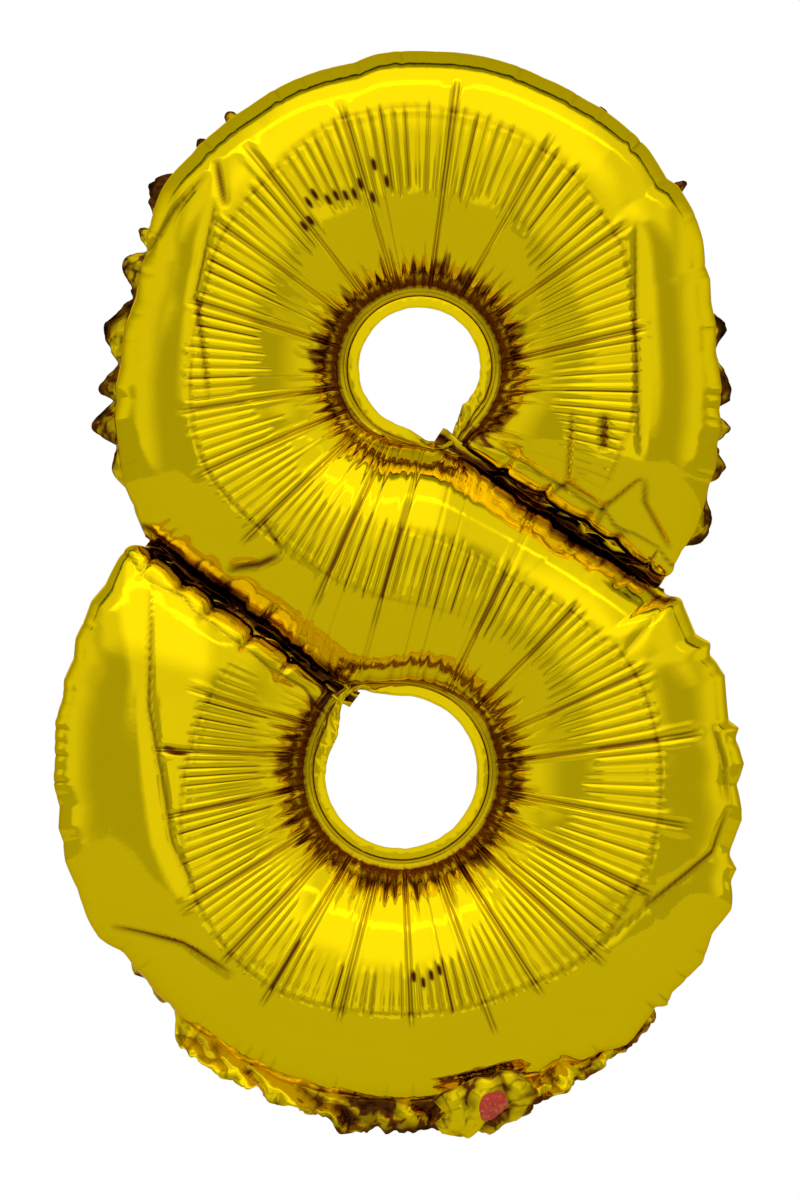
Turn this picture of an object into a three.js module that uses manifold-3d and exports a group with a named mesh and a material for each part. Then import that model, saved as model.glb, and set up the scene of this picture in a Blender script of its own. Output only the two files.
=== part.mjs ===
// A gold foil number balloon, the figure 8, inflated. Two foil sheets are welded together round the outline, round both
// holes and along two slanting partitions, so that the air fills one S-shaped tube. Its inflation tail is folded up in front.
// Millimetres, +Z up, the front faces -Y. The origin is the hanging point at the top of the outer seam, on its back face.
import * as THREE from "three";
import Module from "manifold-3d";

const wasm = await Module();
wasm.setup();

// ---------------------------------------------------------------- driving dimensions
const UPPER = {
  centre: new THREE.Vector2(6, 71.6),
  hole: 24, // radius of the weld line round the hole
  outer: 95.5, // radius of the outer weld line
};
const LOWER = {
  centre: new THREE.Vector2(0, -58.7),
  hole: 29,
  outer: 107,
};
const RIGHT_WAIST = new THREE.Vector2(83.3, 2.1); // where the outlines of the loops meet
const LEFT_WAIST = new THREE.Vector2(-81.1, 15);
const UPPER_PARTITION_AT = THREE.MathUtils.degToRad(-73); // where a partition leaves each hole
const LOWER_PARTITION_AT = THREE.MathUtils.degToRad(123.7);
const WAIST_EASE = THREE.MathUtils.degToRad(50); // over which an outline eases into its waist corners

const FULLNESS = 0.42; // height of one inflated sheet over the tube's width
const END_ROUNDING = 30; // length over which the tube's ends close
const FOIL = 0.6; // wall thickness of the modelled foil
const GAP = 0.3; // clearance between neighbouring pieces
const SEAM_WIDTH = 5; // the flat welded margin
const SEAM_THICKNESS = 0.6;
const PARTITION_WIDTH = 4;

const TAIL_AT = THREE.MathUtils.degToRad(-75.7); // round the lower loop
const TAIL_WIDTH = 26;
const TAIL_LENGTH = 34;
const TAIL_FOLD = THREE.MathUtils.degToRad(118); // from hanging in line with the seam to folded up in front
const TAIL_SEAM = 3;
const TAIL_HINGE = { out: 8.2, clear: 1.2 }; // its axis beyond the outer weld line, and the tail's pieces beyond its axis
const NECK_LIFT = 1; // by which each sheet's rim is lifted off the seam's plane at the neck
const NECK_LIFT_FADE = 16;
const VALVE_WIDTH = 18;
const VALVE_FILM = 0.3;
const VALVE_REACH = 50; // how far the valve runs into the tube
const LAYERS = {
  // distances of the neck's and the tail's layers from the seam's plane
  valve: GAP / 2 + VALVE_FILM / 2,
  foil: GAP / 2 + VALVE_FILM + GAP + FOIL / 2,
};

const AROUND = { loop: 32, diagonal: 9 }; // columns of the sheets' grid in each zone
const ACROSS = 9;
const ARC_STEPS = 44;

// ---------------------------------------------------------------- materials
function finish(color, roughness, metalness) {
  return new THREE.MeshStandardMaterial({ color, roughness, metalness });
}
const goldFoil = finish(0xd6b900, 0.15, 1);
const foldedFoil = finish(0xb08a10, 0.3, 1);
const valveFilm = finish(0xdde4e2, 0.35, 0);
const redInk = finish(0xb8231d, 0.5, 0);

// ---------------------------------------------------------------- the outline
const smooth = (t) => THREE.MathUtils.smoothstep(t, 0, 1);
const lerp = THREE.MathUtils.lerp;

function polar(centre, radius, angle) {
  return new THREE.Vector2(Math.cos(angle), Math.sin(angle)).multiplyScalar(radius).add(centre);
}

// The angles and radii of the waist corners, seen from a loop's centre. Both run from the right corner to the left one.
function waistOf(loop, turn) {
  const right = RIGHT_WAIST.clone().sub(loop.centre);
  const left = LEFT_WAIST.clone().sub(loop.centre);
  const from = Math.atan2(right.y, right.x);
  let to = Math.atan2(left.y, left.x);
  while (turn * (to - from) < 0) to += turn * 2 * Math.PI;
  return { from, to, fromRadius: right.length(), toRadius: left.length() };
}
const UPPER_WAIST = waistOf(UPPER, 1);
const LOWER_WAIST = waistOf(LOWER, -1);

// A point of a loop's outer weld line, moved outwards by an offset.
function outline(loop, waist, angle, offset = 0) {
  const nearFrom = smooth(1 - Math.abs(angle - waist.from) / WAIST_EASE);
  const nearTo = smooth(1 - Math.abs(angle - waist.to) / WAIST_EASE);
  const radius =
    loop.outer + (waist.fromRadius - loop.outer) * nearFrom + (waist.toRadius - loop.outer) * nearTo;
  return polar(loop.centre, radius + offset, angle);
}

// ---------------------------------------------------------------- the S-shaped tube
// Each sheet is a strip between side A and side B. A is the upper loop's outline, then the lower partition, then the lower
// hole. B is the upper hole, then the upper partition, then the lower loop's outline. The strip's ends lie on the partitions.
const MARGIN = PARTITION_WIDTH / 2 + GAP; // from a partition's middle to the tube beside it
const FULL_TURN = 2 * Math.PI;

// A partition leaves its loop's hole at an angle, and runs straight to a waist corner.
function partitionOf(loop, holeAt, waistPoint) {
  const start = polar(loop.centre, loop.hole, holeAt);
  return { start, end: waistPoint, along: waistPoint.clone().sub(start).normalize() };
}
const UPPER_PARTITION = partitionOf(UPPER, UPPER_PARTITION_AT, RIGHT_WAIST);
const LOWER_PARTITION = partitionOf(LOWER, LOWER_PARTITION_AT, LEFT_WAIST);

// How far round a circle, at an angle, a point has to move to be clear of a partition that crosses it there.
function shift(radius, angle, partition) {
  const tangent = new THREE.Vector2(-Math.sin(angle), Math.cos(angle));
  return MARGIN / (radius * Math.abs(tangent.cross(partition.along)));
}

const upperOuter = {
  from: UPPER_WAIST.from + shift(UPPER.outer, UPPER_WAIST.from, UPPER_PARTITION),
  to: UPPER_WAIST.to - shift(UPPER.outer, UPPER_WAIST.to, LOWER_PARTITION),
};
const lowerOuter = {
  from: LOWER_WAIST.from - shift(LOWER.outer, LOWER_WAIST.from, UPPER_PARTITION),
  to: LOWER_WAIST.to + shift(LOWER.outer, LOWER_WAIST.to, LOWER_PARTITION),
};
const upperHoleShift = shift(UPPER.hole, UPPER_PARTITION_AT, UPPER_PARTITION);
const upperHole = {
  from: UPPER_PARTITION_AT + upperHoleShift,
  to: UPPER_PARTITION_AT + FULL_TURN - upperHoleShift,
};
const lowerHoleShift = shift(LOWER.hole, LOWER_PARTITION_AT, LOWER_PARTITION);
const lowerHole = {
  from: LOWER_PARTITION_AT - lowerHoleShift,
  to: LOWER_PARTITION_AT - FULL_TURN + lowerHoleShift,
};
const UPPER_HOLE_TURN = THREE.MathUtils.degToRad(232); // hole angle across from the left waist
const LOWER_HOLE_TURN = THREE.MathUtils.degToRad(55); // hole angle across from the right waist
const SKEW_SHARE = 0.3; // share of a loop over which the rulings swing to the partitions

// The hole's angle across from an outer angle: the same over most of the loop, and its own at both ends.
function holeAngle(outerAngle, t, skewFrom, skewTo) {
  return outerAngle + skewFrom * (1 - smooth(t / SKEW_SHARE)) + skewTo * smooth((t - 1 + SKEW_SHARE) / SKEW_SHARE);
}

const ZONES = [
  { columns: AROUND.loop, ends: upperLoopRuling },
  { columns: AROUND.diagonal, ends: firstDiagonalRuling },
  { columns: AROUND.diagonal, ends: secondDiagonalRuling },
  { columns: AROUND.loop, ends: lowerLoopRuling },
];

function upperLoopRuling(t) {
  const outerAngle = lerp(upperOuter.from, upperOuter.to, t);
  const angle = holeAngle(outerAngle, t, upperHole.from - upperOuter.from, UPPER_HOLE_TURN - upperOuter.to);
  return [outline(UPPER, UPPER_WAIST, outerAngle), polar(UPPER.centre, UPPER.hole, angle)];
}

function firstDiagonalRuling(t) {
  const from = outline(UPPER, UPPER_WAIST, upperOuter.to);
  const to = polar(LOWER.centre, LOWER.hole, lowerHole.from);
  return [from.lerp(to, t), polar(UPPER.centre, UPPER.hole, lerp(UPPER_HOLE_TURN, upperHole.to, t))];
}

function secondDiagonalRuling(t) {
  const from = polar(UPPER.centre, UPPER.hole, upperHole.to);
  const to = outline(LOWER, LOWER_WAIST, lowerOuter.from);
  return [polar(LOWER.centre, LOWER.hole, lerp(lowerHole.from, LOWER_HOLE_TURN, t)), from.lerp(to, t)];
}

function lowerLoopRuling(t) {
  const outerAngle = lerp(lowerOuter.from, lowerOuter.to, t);
  const angle = holeAngle(outerAngle, t, LOWER_HOLE_TURN - lowerOuter.from, lowerHole.to - lowerOuter.to);
  return [polar(LOWER.centre, LOWER.hole, angle), outline(LOWER, LOWER_WAIST, outerAngle)];
}

// Every ruling of the strip, with the distance that its middle has run from the first.
function rulings() {
  const list = [];
  ZONES.forEach(({ columns, ends }, zone) => {
    for (let i = zone ? 1 : 0; i <= columns; i++) list.push({ ends: ends(i / columns) });
  });
  let run = 0;
  list.forEach((ruling, i) => {
    ruling.middle = ruling.ends[0].clone().lerp(ruling.ends[1], 0.5);
    if (i) run += ruling.middle.distanceTo(list[i - 1].middle);
    ruling.run = run;
  });
  return list;
}

// How far the sheet's outer rim is lifted off the seam's plane at a point, to let the valve through.
function neckLift(point) {
  const fromNeck = point.distanceTo(polar(LOWER.centre, LOWER.outer, TAIL_AT));
  return NECK_LIFT * smooth((TAIL_WIDTH + NECK_LIFT_FADE - fromNeck) / NECK_LIFT_FADE);
}

// The inflated front sheet's outer face as rows of points, half an ellipse across each ruling.
function sheetGrid() {
  const list = rulings();
  const length = list.at(-1).run;
  return list.map(({ ends: [a, b], run }) => {
    const toEnd = Math.min(run, length - run);
    const closing = Math.sin((Math.PI / 2) * Math.min(1, toEnd / END_ROUNDING)) ** 0.6;
    const height = FULLNESS * a.distanceTo(b) * closing;
    return Array.from({ length: ACROSS + 1 }, (_, j) => {
      const turn = (Math.PI * j) / ACROSS;
      const at = a.clone().lerp(b, (1 - Math.cos(turn)) / 2);
      return new THREE.Vector3(at.x, -GAP / 2 - neckLift(at) - height * Math.sin(turn), at.y);
    });
  });
}

// A grid's unit normals, facing away from the air.
function gridNormals(grid) {
  const last = grid.length - 1;
  return grid.map((row, i) =>
    row.map((_, j) => {
      const along = grid[Math.min(i + 1, last)][j].clone().sub(grid[Math.max(i - 1, 0)][j]);
      const across = row[Math.min(j + 1, ACROSS)].clone().sub(row[Math.max(j - 1, 0)]);
      return along.cross(across).normalize();
    }),
  );
}

// A closed shell between a sheet's outer face and the same face moved inwards by the foil's thickness.
function sheetGeometry() {
  const outer = sheetGrid();
  const normals = gridNormals(outer);
  const columns = outer.length;
  const rows = ACROSS + 1;
  const inner = outer.map((row, i) =>
    row.map((point, j) => {
      const moved = point.clone().addScaledVector(normals[i][j], -FOIL);
      const onRim = i === 0 || i === columns - 1 || j === 0 || j === ACROSS;
      if (onRim) moved.y = point.y;
      return moved;
    }),
  );
  const positions = [...outer.flat(), ...inner.flat()].flatMap((p) => [p.x, p.y, p.z]);
  const at = (side, i, j) => side * columns * rows + i * rows + j;
  const index = [];
  const quad = (a, b, c, d) => index.push(a, c, b, a, d, c);
  for (let i = 0; i < columns - 1; i++) {
    for (let j = 0; j < ACROSS; j++) {
      quad(at(0, i, j), at(0, i, j + 1), at(0, i + 1, j + 1), at(0, i + 1, j));
      quad(at(1, i, j), at(1, i + 1, j), at(1, i + 1, j + 1), at(1, i, j + 1));
    }
    quad(at(0, i, 0), at(0, i + 1, 0), at(1, i + 1, 0), at(1, i, 0));
    quad(at(0, i + 1, ACROSS), at(0, i, ACROSS), at(1, i, ACROSS), at(1, i + 1, ACROSS));
  }
  for (let j = 0; j < ACROSS; j++) {
    quad(at(0, 0, j + 1), at(0, 0, j), at(1, 0, j), at(1, 0, j + 1));
    const end = columns - 1;
    quad(at(0, end, j), at(0, end, j + 1), at(1, end, j + 1), at(1, end, j));
  }
  const geometry = new THREE.BufferGeometry();
  geometry.setAttribute("position", new THREE.Float32BufferAttribute(positions, 3));
  geometry.setIndex(index);
  return geometry;
}

// The same geometry seen in a mirror at y = 0.
function mirrored(geometry) {
  const flipped = geometry.clone().scale(1, -1, 1);
  const index = flipped.index.array;
  for (let i = 0; i < index.length; i += 3) [index[i + 1], index[i + 2]] = [index[i + 2], index[i + 1]];
  return flipped;
}

// ---------------------------------------------------------------- flat welded seams
// A flat plate from an outline in the X-Z plane, centred on y = 0 unless it is told otherwise.
function plate(points, thickness = SEAM_THICKNESS, holes = [], middle = 0) {
  const shape = new THREE.Shape(points);
  shape.holes = holes.map((hole) => new THREE.Path(hole));
  const geometry = new THREE.ExtrudeGeometry(shape, { depth: thickness, bevelEnabled: false });
  return geometry.translate(0, 0, -thickness / 2 - middle).rotateX(Math.PI / 2);
}

function circle(centre, radius, steps = ARC_STEPS) {
  return Array.from({ length: steps }, (_, i) => polar(centre, radius, (i / steps) * FULL_TURN));
}

function loopOutline(loop, waist, offset) {
  return Array.from({ length: ARC_STEPS + 1 }, (_, i) =>
    outline(loop, waist, lerp(waist.from, waist.to, i / ARC_STEPS), offset),
  );
}

function rectangle(x0, x1, z0, z1) {
  return [[x0, z0], [x1, z0], [x1, z1], [x0, z1]].map(([x, z]) => new THREE.Vector2(x, z));
}

function solid(geometry) {
  const position = geometry.getAttribute("position");
  const seen = new Map();
  const vertProperties = [];
  const number = Array.from({ length: position.count }, (_, i) => {
    const point = [position.getX(i), position.getY(i), position.getZ(i)];
    const key = point.map((v) => Math.round(v * 1e4)).join();
    if (!seen.has(key)) {
      seen.set(key, seen.size);
      vertProperties.push(...point);
    }
    return seen.get(key);
  });
  const corners = geometry.index ? Array.from(geometry.index.array) : number.map((_, i) => i);
  return new wasm.Manifold(
    new wasm.Mesh({
      numProp: 3,
      vertProperties: new Float32Array(vertProperties),
      triVerts: new Uint32Array(corners.map((i) => number[i])),
    }),
  );
}

function geometryOf(body) {
  const mesh = body.getMesh();
  const geometry = new THREE.BufferGeometry();
  geometry.setAttribute("position", new THREE.BufferAttribute(mesh.vertProperties, 3));
  geometry.setIndex(new THREE.BufferAttribute(mesh.triVerts, 1));
  return geometry;
}

// The number's whole outline, moved outwards by an offset, as a plate.
function wholeOutline(offset, thickness) {
  const upper = solid(plate(loopOutline(UPPER, UPPER_WAIST, offset), thickness));
  const lower = solid(plate(loopOutline(LOWER, LOWER_WAIST, offset), thickness));
  return upper.add(lower);
}

// A place in the tail's own frame: x along the seam, z outwards along the loop's radius, from the outer weld line.
function tailFrame(object, outwards = 0) {
  const at = polar(LOWER.centre, LOWER.outer + outwards, TAIL_AT);
  object.position.set(at.x, 0, at.y);
  object.rotation.y = -(TAIL_AT + Math.PI / 2);
  return object;
}

// A box across the outer seam where the tail leaves it.
function neckOpening() {
  const box = rectangle(-TAIL_WIDTH / 2, TAIL_WIDTH / 2, -2 * SEAM_WIDTH, SEAM_WIDTH);
  const opening = tailFrame(new THREE.Mesh(plate(box, 2 * SEAM_THICKNESS)));
  opening.updateMatrixWorld();
  return solid(opening.geometry.applyMatrix4(opening.matrixWorld));
}

function outerSeam() {
  const whole = wholeOutline(GAP + SEAM_WIDTH, SEAM_THICKNESS);
  const band = whole.subtract(wholeOutline(GAP, 2 * SEAM_THICKNESS));
  return geometryOf(band.subtract(neckOpening()));
}

function holeSeam(loop) {
  const width = loop.hole - GAP;
  return plate(circle(loop.centre, width), SEAM_THICKNESS, [circle(loop.centre, width - SEAM_WIDTH)]);
}

// The weld between one of the tube's ends and its diagonal.
function partitionSeam({ start, end, along }) {
  const across = new THREE.Vector2(-along.y, along.x).multiplyScalar(PARTITION_WIDTH / 2);
  const from = start.clone().addScaledVector(along, PARTITION_WIDTH / 2);
  const to = end.clone().addScaledVector(along, -PARTITION_WIDTH);
  return plate([
    from.clone().sub(across),
    to.clone().sub(across),
    to.clone().add(across),
    from.clone().add(across),
  ]);
}

// ---------------------------------------------------------------- assembly
const balloon = new THREE.Group();

function add(parent, name, geometry, material) {
  const mesh = new THREE.Mesh(geometry, material);
  mesh.name = name;
  parent.add(mesh);
  return mesh;
}

const frontSheet = sheetGeometry();
add(balloon, "front_foil", frontSheet, goldFoil);
add(balloon, "back_foil", mirrored(frontSheet), goldFoil);
add(balloon, "outer_seam", outerSeam(), goldFoil);
add(balloon, "upper_hole_seam", holeSeam(UPPER), goldFoil);
add(balloon, "lower_hole_seam", holeSeam(LOWER), goldFoil);
add(balloon, "upper_partition_seam", partitionSeam(UPPER_PARTITION), foldedFoil);
add(balloon, "lower_partition_seam", partitionSeam(LOWER_PARTITION), foldedFoil);

const SIDES = [
  { side: "front", sign: -1 },
  { side: "back", sign: 1 },
];

// The neck: the foil's two layers pass the seam unwelded, with the valve between them.
const neck = tailFrame(new THREE.Group());
balloon.add(neck);
const neckHalf = TAIL_WIDTH / 2 - GAP;
for (const { side, sign } of SIDES) {
  const foil = rectangle(-neckHalf, neckHalf, -SEAM_WIDTH - GAP, -FOIL);
  add(neck, `neck_${side}_foil`, plate(foil, FOIL, [], sign * LAYERS.foil), foldedFoil);
  const film = rectangle(-VALVE_WIDTH / 2, VALVE_WIDTH / 2, -SEAM_WIDTH - GAP, VALVE_REACH);
  add(neck, `valve_inner_${side}_film`, plate(film, VALVE_FILM, [], sign * LAYERS.valve), valveFilm);
}

// The tail turns about the seam's edge. It is drawn hanging, and folded up in front by its group.
const tail = new THREE.Group();
const tailMount = tailFrame(new THREE.Group(), TAIL_HINGE.out);
tail.rotation.x = -TAIL_FOLD;
tailMount.add(tail);
balloon.add(tailMount);
const tailTop = -TAIL_HINGE.clear;
const tailHalf = TAIL_WIDTH / 2;
for (const { side, sign } of SIDES) {
  const foil = rectangle(-tailHalf + TAIL_SEAM, tailHalf - TAIL_SEAM, -TAIL_LENGTH, tailTop);
  add(tail, `tail_${side}_foil`, plate(foil, FOIL, [], sign * LAYERS.foil), foldedFoil);
  const film = rectangle(-VALVE_WIDTH / 2, VALVE_WIDTH / 2, -TAIL_LENGTH, tailTop);
  add(tail, `valve_outer_${side}_film`, plate(film, VALVE_FILM, [], sign * LAYERS.valve), valveFilm);
}
for (const [name, sign] of [["left", -1], ["right", 1]]) {
  const inner = tailHalf - TAIL_SEAM + GAP;
  const edge = [sign * inner, sign * tailHalf].sort((p, q) => p - q);
  add(tail, `tail_${name}_seam`, plate(rectangle(...edge, -TAIL_LENGTH, tailTop), SEAM_THICKNESS), foldedFoil);
}
// The printed mark lies on the face that the fold turns to the front.
const MARK = { x: 3, z: -17, radius: 4.5, thickness: 0.3 };
const markFace = LAYERS.foil + FOIL / 2 + GAP / 2 + MARK.thickness / 2;
const markOutline = circle(new THREE.Vector2(MARK.x, MARK.z), MARK.radius, 16);
add(tail, "inflation_mark", plate(markOutline, MARK.thickness, [], markFace), redInk);

// The origin goes to the top of the outer seam, on its back face.
const HANG = outline(UPPER, UPPER_WAIST, Math.PI / 2, GAP + SEAM_WIDTH / 2);
balloon.position.set(-HANG.x, -SEAM_THICKNESS / 2, -HANG.y);

const part = new THREE.Group();
part.add(balloon);

export default part;
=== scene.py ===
"""The looks of an inflated gold foil balloon, the figure 8: pleated sheets, puckered seams, tail and valve.

Lengths are in millimetres until a mesh is made. Points of the figure's plane are complex numbers, x + z * 1j,
in the figure's own layout, and `to_frame` carries them to the CAD frame.
"""

import bpy
import numpy as np
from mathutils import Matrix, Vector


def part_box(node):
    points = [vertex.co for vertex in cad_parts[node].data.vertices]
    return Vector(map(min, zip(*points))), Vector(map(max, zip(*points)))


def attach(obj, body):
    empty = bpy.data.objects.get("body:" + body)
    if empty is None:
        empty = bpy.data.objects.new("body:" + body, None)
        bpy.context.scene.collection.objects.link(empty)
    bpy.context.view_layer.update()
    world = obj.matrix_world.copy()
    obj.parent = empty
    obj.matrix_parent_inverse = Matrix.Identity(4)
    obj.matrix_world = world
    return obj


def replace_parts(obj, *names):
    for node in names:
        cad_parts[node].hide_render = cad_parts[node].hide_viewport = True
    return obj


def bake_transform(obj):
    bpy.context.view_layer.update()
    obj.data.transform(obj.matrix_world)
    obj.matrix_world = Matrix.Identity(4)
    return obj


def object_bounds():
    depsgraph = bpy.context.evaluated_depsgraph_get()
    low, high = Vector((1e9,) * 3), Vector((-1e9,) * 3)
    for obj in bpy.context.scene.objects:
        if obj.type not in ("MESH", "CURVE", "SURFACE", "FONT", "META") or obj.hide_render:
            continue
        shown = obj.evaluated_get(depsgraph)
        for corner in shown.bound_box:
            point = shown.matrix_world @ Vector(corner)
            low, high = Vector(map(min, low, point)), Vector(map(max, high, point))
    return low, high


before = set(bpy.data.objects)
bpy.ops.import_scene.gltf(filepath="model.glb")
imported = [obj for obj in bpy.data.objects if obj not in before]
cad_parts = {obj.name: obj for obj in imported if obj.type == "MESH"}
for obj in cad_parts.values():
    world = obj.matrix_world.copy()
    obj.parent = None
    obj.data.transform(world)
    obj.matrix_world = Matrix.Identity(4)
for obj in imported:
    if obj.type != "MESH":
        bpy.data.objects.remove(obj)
cad_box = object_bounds()

MM = 0.001
TAU = 2 * np.pi


# ---------------- layout, from the CAD frame
WELD_GAP = 0.3  # between a CAD seam and its weld line
SEAM_WIDTH = 5.0
UPPER_CENTRE = 6 + 71.6j  # the layout's own place of the upper hole, which ties it to the frame


def middle_of(node):
    low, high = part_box(node)
    return (low + high) / 2 / MM


class Loop:
    """One loop of the figure: its centre, the weld round its hole, and its outer weld."""

    def __init__(self, node, turn):
        low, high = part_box(node)
        middle = middle_of(node)
        self.centre = middle.x + middle.z * 1j - SHIFT
        self.hole = (high.x - low.x) / 2 / MM + WELD_GAP
        seam_low, seam_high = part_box("outer_seam")
        edge = seam_high.z if turn > 0 else seam_low.z
        self.outer = abs(edge / MM - middle.z) - SEAM_WIDTH - WELD_GAP
        self.turn = turn  # 1 where the strip runs round the loop anticlockwise
        right, left = RIGHT_WAIST - self.centre, LEFT_WAIST - self.centre
        self.start = np.angle(right)
        sweep = (turn * (np.angle(left) - self.start)) % TAU
        self.end = self.start + turn * sweep
        self.radii = abs(right), abs(left)

    def outline(self, angle, offset=0.0):
        """Points of the outer weld line, which eases into the waist corners."""
        near = [smooth(1 - abs(angle - end) / WAIST_EASE) for end in (self.start, self.end)]
        radius = self.outer + sum(n * (r - self.outer) for n, r in zip(near, self.radii))
        return self.centre + (radius + offset) * np.exp(1j * angle)

    def rim(self, angle):
        return self.centre + self.hole * np.exp(1j * angle)


def smooth(t):
    t = np.clip(t, 0, 1)
    return t * t * (3 - 2 * t)


def window(x, low, high, fade):
    """1 between low and high, fading to 0 over a distance outside them."""
    return smooth((x - low) / fade + 1) * smooth((high - x) / fade + 1)


def bell(x, width):
    """1 at 0, dying away on both sides."""
    return np.exp(-((x / width) ** 2))


upper_ring = middle_of("upper_hole_seam")
SHIFT = upper_ring.x + upper_ring.z * 1j - UPPER_CENTRE
MID_Y = upper_ring.y
RIGHT_WAIST = 83.3 + 2.1j
LEFT_WAIST = -81.1 + 15j
WAIST_EASE = np.radians(50)
UPPER = Loop("upper_hole_seam", 1)
LOWER = Loop("lower_hole_seam", -1)
UPPER_PARTITION_AT = np.radians(-73)  # where a partition leaves each hole
LOWER_PARTITION_AT = np.radians(123.7)
PARTITION_HALF = 2.3
UPPER_TURN = np.radians(217)  # hole angles across from the left and the right waist
LOWER_TURN = np.radians(32)
SKEW_SHARE = 0.3


def to_frame(plan, y):
    """Points of the CAD frame in metres, from plan points and distances behind the seam's plane."""
    plan = plan + SHIFT
    return np.stack([plan.real, y + MID_Y + 0 * plan.real, plan.imag], axis=-1) * MM


# ---------------- the S-shaped strip
# Side A is the upper loop's outline, the lower partition, then the lower hole. Side B is the upper hole, the
# upper partition, then the lower loop's outline. A ruling joins them at each station along the strip.
def clear_of(loop, radius, angle, waist, hole_at):
    """How far round a circle a point moves to clear the partition that crosses it."""
    along = waist - loop.rim(hole_at)
    crossing = abs(np.sin(np.angle(along) - (angle + np.pi / 2)))
    return PARTITION_HALF / (radius * crossing)


upper_from = UPPER.start + clear_of(UPPER, UPPER.outer, UPPER.start, RIGHT_WAIST, UPPER_PARTITION_AT)
upper_to = UPPER.end - clear_of(UPPER, UPPER.outer, UPPER.end, LEFT_WAIST, UPPER_PARTITION_AT)
lower_from = LOWER.start - clear_of(LOWER, LOWER.outer, LOWER.start, RIGHT_WAIST, LOWER_PARTITION_AT)
lower_to = LOWER.end + clear_of(LOWER, LOWER.outer, LOWER.end, LEFT_WAIST, LOWER_PARTITION_AT)
upper_hole_clear = clear_of(UPPER, UPPER.hole, UPPER_PARTITION_AT, RIGHT_WAIST, UPPER_PARTITION_AT)
lower_hole_clear = clear_of(LOWER, LOWER.hole, LOWER_PARTITION_AT, LEFT_WAIST, LOWER_PARTITION_AT)
upper_hole = UPPER_PARTITION_AT + upper_hole_clear, UPPER_PARTITION_AT + TAU - upper_hole_clear
lower_hole = LOWER_PARTITION_AT - lower_hole_clear, LOWER_PARTITION_AT - TAU + lower_hole_clear


def mix(a, b, t):
    return a + (b - a) * t


def hole_angle(outer_angle, t, skew_from, skew_to):
    """The same as the outer angle over most of a loop, and its own at both ends."""
    late = smooth((t - 1 + SKEW_SHARE) / SKEW_SHARE)
    return outer_angle + skew_from * (1 - smooth(t / SKEW_SHARE)) + skew_to * late


def upper_loop(t):
    outer = mix(upper_from, upper_to, t)
    hole = hole_angle(outer, t, upper_hole[0] - upper_from, UPPER_TURN - upper_to)
    return UPPER.outline(outer), UPPER.rim(hole)


def first_diagonal(t):
    late, later = 1 - (1 - t) ** 1.3, 1 - (1 - t) ** 0.6
    side_a = mix(UPPER.outline(upper_to), LOWER.rim(lower_hole[0]), late)
    return side_a, UPPER.rim(mix(UPPER_TURN, upper_hole[1], later))


def second_diagonal(t):
    side_b = mix(UPPER.rim(upper_hole[1]), LOWER.outline(lower_from), t**1.3)
    return LOWER.rim(mix(lower_hole[0], LOWER_TURN, t**0.6)), side_b


def lower_loop(t):
    outer = mix(lower_from, lower_to, t)
    hole = hole_angle(outer, t, LOWER_TURN - lower_from, lower_hole[1] - lower_to)
    return LOWER.rim(hole), LOWER.outline(outer)


ZONES = [upper_loop, first_diagonal, second_diagonal, lower_loop]
FINE = 1200  # steps of the first survey of a zone


def survey():
    """Side A, side B and the run of the middle line, finely along the whole strip."""
    steps = np.arange(FINE) / FINE
    pairs = [zone(steps) for zone in ZONES] + [lower_loop(np.array([1.0]))]
    side_a = np.concatenate([a for a, _ in pairs])
    side_b = np.concatenate([b for _, b in pairs])
    run = np.concatenate([[0], np.cumsum(abs(np.diff((side_a + side_b) / 2)))])
    return side_a, side_b, run


survey_a, survey_b, survey_run = survey()


def run_at(zone, t):
    return np.interp(zone * FINE + t * FINE, np.arange(len(survey_run)), survey_run)


# The long creases that cross the tube: where they lie, how far from the hole the pleats between them reach,
# and where those begin, as shares of the tube's width. On a loop a crease lies at an angle in degrees, and on
# the diagonal at a share of a zone.
UPPER_CREASES = [
    (10, 0.62, 0.27),
    (34, 0.66, 0.30),
    (60, 0.72, 0.45),
    (82.5, 0.74, 0.50),
    (107, 0.74, 0.50),
    (128, 0.70, 0.47),
    (145, 0.68, 0.42),
    (164, 0.66, 0.42),
    (190.5, 0.65, 0.42),
    (206, 0.66, 0.36),
]
DIAGONAL_CREASES = [
    (1, 0.228, 0.66, 0.40),
    (1, 0.62, 0.64, 0.42),
    (1, 0.984, 0.64, 0.43),
    (2, 0.536, 0.64, 0.42),
    (2, 0.847, 0.66, 0.40),
    (3, 0.046, 0.68, 0.36),
]
LOWER_CREASES = [
    (8, 0.68, 0.42),
    (-10, 0.68, 0.46),
    (-26, 0.67, 0.30),
    (-43, 0.66, 0.25),
    (-57, 0.64, 0.30),
    (-70, 0.62, 0.47),
    (-88, 0.61, 0.48),
    (-104, 0.62, 0.47),
    (-121, 0.65, 0.40),
    (-134, 0.65, 0.35),
    (-147.5, 0.60, 0.30),
    (-169.6, 0.53, 0.25),
    (-185, 0.50, 0.25),
    (-200.6, 0.46, 0.30),
]
FIRST_CREASE = (0.60, 0.5)  # at the strip's ends
LAST_CREASE = (0.44, 0.4)


def crease_table():
    """For every long crease, the run where it crosses the tube, and where its pleats end and begin."""
    rows = [(0.0, *FIRST_CREASE)]
    for degrees, end, start in UPPER_CREASES:
        rows.append((run_at(0, (np.radians(degrees) - upper_from) / (upper_to - upper_from)), end, start))
    for zone, t, end, start in DIAGONAL_CREASES:
        rows.append((run_at(zone, t), end, start))
    for degrees, end, start in LOWER_CREASES:
        rows.append((run_at(3, (np.radians(degrees) - lower_from) / (lower_to - lower_from)), end, start))
    rows.append((survey_run[-1], *LAST_CREASE))
    return np.array(rows, float).T


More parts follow.
